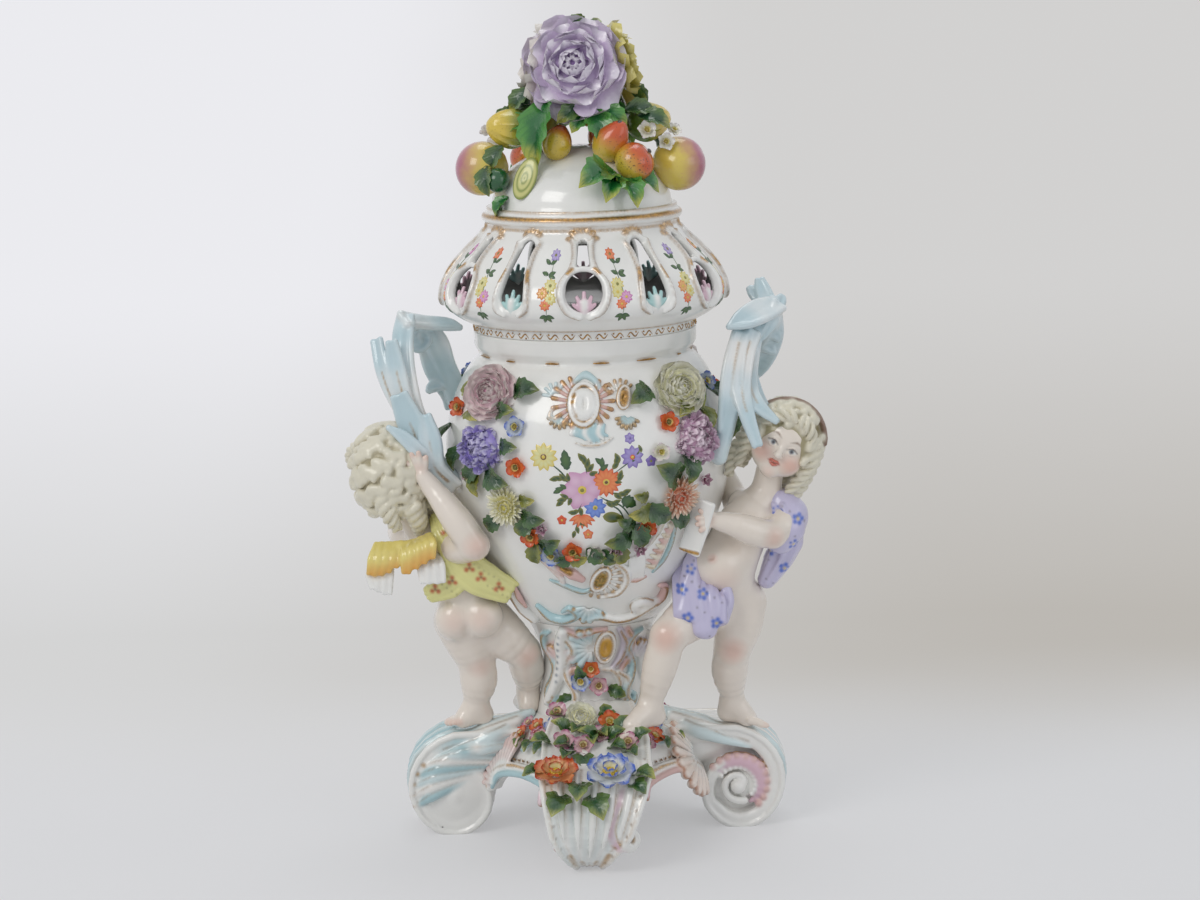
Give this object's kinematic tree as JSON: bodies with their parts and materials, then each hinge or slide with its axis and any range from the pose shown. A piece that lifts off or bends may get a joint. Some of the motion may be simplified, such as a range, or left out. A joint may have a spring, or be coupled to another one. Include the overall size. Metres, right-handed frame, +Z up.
{
  "type": "potpourri vase",
  "caption": "Covered potpourri vase in painted porcelain: ovoid body with applied flower garlands and leaf handles, pierced lift-off cover, scroll feet and flanking putti.",
  "frame": {"origin": "on the axis of the vase at the level the feet stand on, in the middle of the overall footprint", "axes": "+Z up along the vase axis, -Y towards the painted front panel, +X to the right of a viewer in front"},
  "size_m": [0.3166, 0.2532, 0.5163],
  "materials": {
    "porcelain": "clear gloss glaze over white porcelain",
    "porcelain_gilt": "gloss glaze with worn gilt lines and painted sprigs",
    "relief_pink": "gloss glaze, pink enamel with gilt edges",
    "relief_blue": "gloss glaze, pale blue enamel fading to white",
    "flesh": "gloss glaze over stippled flesh tint",
    "hair": "gloss glaze, grey-brown enamel washed over curls",
    "drapery_lilac": "gloss lilac enamel with blue blossoms",
    "drapery_yellow": "gloss yellow-green enamel with red-brown trefoils",
    "wings": "gloss glaze, yellow and orange enamel at the tips",
    "leaf": "gloss green enamel",
    "petal_pink": "gloss pink enamel",
    "petal_white": "gloss cream enamel",
    "petal_purple": "gloss violet enamel",
    "petal_mauve": "gloss mauve enamel",
    "petal_yellow": "gloss pale yellow enamel",
    "petal_orange": "gloss orange enamel",
    "petal_red": "gloss iron-red enamel",
    "petal_blue": "gloss blue enamel",
    "petal_lilac": "gloss lilac enamel, deeper in the heart",
    "petal_olive": "gloss olive-yellow enamel",
    "peach": "gloss yellow enamel with a mauve blush",
    "apple": "gloss yellow to orange enamel with dark specks",
    "pear": "gloss yellow enamel",
    "fig": "gloss dark green enamel",
    "branch": "gloss olive-brown enamel"
  },
  "bodies": {
    "vase": {"base_plinth": "porcelain", "pedestal": "porcelain", "foot_front": "porcelain_gilt", "foot_right": "porcelain_gilt", "foot_back": "porcelain_gilt", "foot_left": "porcelain_gilt", "base_shells": "relief_pink", "pedestal_scrolls": "relief_blue", "base_leaves": "leaf", "base_bloom_red": "petal_red", "base_bloom_blue": "petal_blue", "base_rose_cream": "petal_yellow", "base_florets_red": "petal_red", "base_florets_pink": "petal_pink", "base_florets_blue": "petal_blue", "vase_body": "porcelain_gilt", "cartouches_upper": "relief_pink", "cartouches_lower": "relief_pink", "garland_leaves": "leaf", "roses_pink": "petal_pink", "roses_white": "petal_white", "carnations_purple": "petal_purple", "carnations_mauve": "petal_mauve", "asters_yellow": "petal_yellow", "asters_orange": "petal_orange", "florets_red": "petal_red", "florets_blue": "petal_blue", "florets_white": "petal_white", "buds_pink": "petal_pink", "handle_left": "relief_blue", "handle_right": "relief_blue", "girl_torso": "flesh", "girl_head": "flesh", "girl_hair": "hair", "girl_arm_front": "flesh", "girl_arm_back": "flesh", "girl_leg_front": "flesh", "girl_leg_back": "flesh", "girl_drapery": "drapery_lilac", "girl_tablet": "porcelain", "boy_torso": "flesh", "boy_head": "flesh", "boy_hair": "hair", "boy_arm_front": "flesh", "boy_arm_back": "flesh", "boy_leg_front": "flesh", "boy_leg_back": "flesh", "boy_drapery": "drapery_yellow", "boy_wings": "wings"},
    "cover": {"cover_shell": "porcelain_gilt", "cover_palmettes": "relief_pink", "finial_branch": "branch", "finial_rose": "petal_lilac", "finial_side_flowers": "petal_olive", "finial_leaves": "leaf", "finial_peaches": "peach", "finial_apples": "apple", "finial_pears": "pear", "finial_figs": "fig", "finial_blossoms": "petal_white"}
  },
  "joints": [
    {"name": "cover_lift", "type": "slide", "parent": "vase", "child": "cover", "axis": [0, 0, 1], "range_m": [0, 0.12]}
  ]
}
